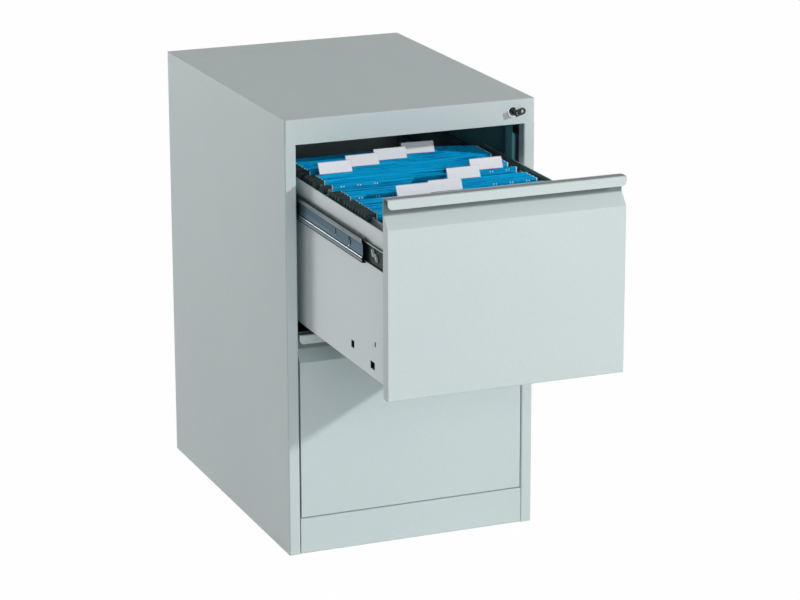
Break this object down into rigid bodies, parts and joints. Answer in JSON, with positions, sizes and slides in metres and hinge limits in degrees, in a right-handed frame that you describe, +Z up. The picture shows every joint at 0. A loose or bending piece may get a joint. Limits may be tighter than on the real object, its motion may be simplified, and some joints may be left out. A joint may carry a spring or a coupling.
{
  "type": "hanging file cabinet",
  "caption": "Steel filing cabinet with drawers on ball-bearing slides, recessed grip fronts, a lock with a folding-bow key, and hanging folders with tabs.",
  "frame": {"origin": "on the floor, under the middle of the carcass", "axes": "+X to the right seen from the front, +Y from the front to the back, +Z up"},
  "size_m": [0.433, 0.9698, 0.733],
  "materials": {
    "body_paint": "satin light grey paint",
    "zinc": "bright zinc plate",
    "cage_steel": "plain pressed steel",
    "ball_steel": "polished steel balls",
    "lock_chrome": "polished",
    "lock_dark": "dark face",
    "key_metal": "polished",
    "foot_plastic": "black moulded pad",
    "bumper_plastic": "pale grey moulded stop",
    "guide_plastic": "black moulded guide",
    "folder_paper": "dyed manila board",
    "hanger_steel": "dark coated strip",
    "tab_plastic": "white insert in a clear tab"
  },
  "bodies": {
    "cabinet": {"left_side_panel": "body_paint", "right_side_panel": "body_paint", "top_cover": "body_paint", "back_panel": "body_paint", "base_panel": "body_paint", "plinth": "body_paint", "left_uprights": "body_paint", "right_uprights": "body_paint", "levelling_feet": "foot_plastic", "foot_nuts": "zinc", "back_rivets": "body_paint", "lock_housing": "lock_chrome", "lock_nut": "zinc", "lock_bar_guides": "guide_plastic", "upper_left_cabinet_member": "zinc", "upper_right_cabinet_member": "zinc", "lower_left_cabinet_member": "zinc", "lower_right_cabinet_member": "zinc"},
    "upper_drawer": {"upper_drawer_front": "body_paint", "upper_front_liner": "body_paint", "upper_drawer_box": "body_paint", "upper_drawer_back": "body_paint", "upper_folder_rails": "body_paint", "upper_left_drawer_member": "zinc", "upper_right_drawer_member": "zinc", "upper_lock_catch": "body_paint", "upper_slide_bumpers": "bumper_plastic", "rear_folders": "folder_paper", "rear_hangers": "hanger_steel", "rear_tabs": "tab_plastic"},
    "upper_middle_members": {"upper_left_middle_member": "zinc", "upper_right_middle_member": "zinc"},
    "upper_outer_cages": {"upper_outer_cages": "cage_steel", "upper_outer_balls": "ball_steel"},
    "upper_inner_cages": {"upper_inner_cages": "cage_steel", "upper_inner_balls": "ball_steel"},
    "lower_drawer": {"lower_drawer_front": "body_paint", "lower_front_liner": "body_paint", "lower_drawer_box": "body_paint", "lower_drawer_back": "body_paint", "lower_folder_rails": "body_paint", "lower_left_drawer_member": "zinc", "lower_right_drawer_member": "zinc", "lower_lock_catch": "body_paint", "lower_slide_bumpers": "bumper_plastic"},
    "lower_middle_members": {"lower_left_middle_member": "zinc", "lower_right_middle_member": "zinc"},
    "lower_outer_cages": {"lower_outer_cages": "cage_steel", "lower_outer_balls": "ball_steel"},
    "lower_inner_cages": {"lower_inner_cages": "cage_steel", "lower_inner_balls": "ball_steel"},
    "front_folders": {"front_folders": "folder_paper", "front_hangers": "hanger_steel", "front_tabs": "tab_plastic"},
    "lock_plug": {"lock_plug": "lock_dark", "lock_cam": "zinc", "key_blade": "key_metal"},
    "key_bow": {"key_bow": "key_metal"},
    "lock_bar": {"lock_bar": "zinc"}
  },
  "joints": [
    {"name": "upper_drawer_slide", "type": "slide", "parent": "cabinet", "child": "upper_drawer", "axis": [0, -1, 0], "range_m": [-0.379, 0.101]},
    {"name": "lower_drawer_slide", "type": "slide", "parent": "cabinet", "child": "lower_drawer", "axis": [0, -1, 0], "range_m": [0, 0.48]},
    {"name": "upper_middle_members_slide", "type": "slide", "parent": "cabinet", "child": "upper_middle_members", "axis": [0, -1, 0], "range_m": [-0.29572, 0.07888]},
    {"name": "upper_outer_cages_slide", "type": "slide", "parent": "cabinet", "child": "upper_outer_cages", "axis": [0, -1, 0], "range_m": [-0.14791, 0.03949]},
    {"name": "upper_inner_cages_slide", "type": "slide", "parent": "cabinet", "child": "upper_inner_cages", "axis": [0, -1, 0], "range_m": [-0.33741, 0.08999]},
    {"name": "lower_middle_members_slide", "type": "slide", "parent": "cabinet", "child": "lower_middle_members", "axis": [0, -1, 0], "range_m": [0, 0.3745]},
    {"name": "lower_outer_cages_slide", "type": "slide", "parent": "cabinet", "child": "lower_outer_cages", "axis": [0, -1, 0], "range_m": [0, 0.1873]},
    {"name": "lower_inner_cages_slide", "type": "slide", "parent": "cabinet", "child": "lower_inner_cages", "axis": [0, -1, 0], "range_m": [0, 0.4273]},
    {"name": "lock_bar_slide", "type": "slide", "parent": "cabinet", "child": "lock_bar", "axis": [0, 0, 1], "range_m": [-0.01202, 0]},
    {"name": "lock_turn", "type": "hinge", "parent": "cabinet", "child": "lock_plug", "pos_m": [0.1765, -0.295, 0.7125], "axis": [0, 1, 0], "range_deg": [0, 90]},
    {"name": "key_bow_fold", "type": "hinge", "parent": "lock_plug", "child": "key_bow", "pos_m": [0.1765, -0.308, 0.7125], "axis": [0.2588, 0, -0.9659], "range_deg": [0, 180]},
    {"name": "front_folders_slide", "type": "slide", "parent": "upper_drawer", "child": "front_folders", "axis": [0, -1, 0], "range_m": [-0.018, 0.1]}
  ],
  "couplings": [
    {"joint": "upper_middle_members_slide", "follows": "upper_drawer_slide", "ratio": 0.78},
    {"joint": "upper_outer_cages_slide", "follows": "upper_drawer_slide", "ratio": 0.39},
    {"joint": "upper_inner_cages_slide", "follows": "upper_drawer_slide", "ratio": 0.89},
    {"joint": "lower_middle_members_slide", "follows": "lower_drawer_slide", "ratio": 0.78},
    {"joint": "lower_outer_cages_slide", "follows": "lower_drawer_slide", "ratio": 0.39},
    {"joint": "lower_inner_cages_slide", "follows": "lower_drawer_slide", "ratio": 0.89},
    {"joint": "lock_turn", "follows": "lock_bar_slide", "rad_per_m": -130.67}
  ]
}
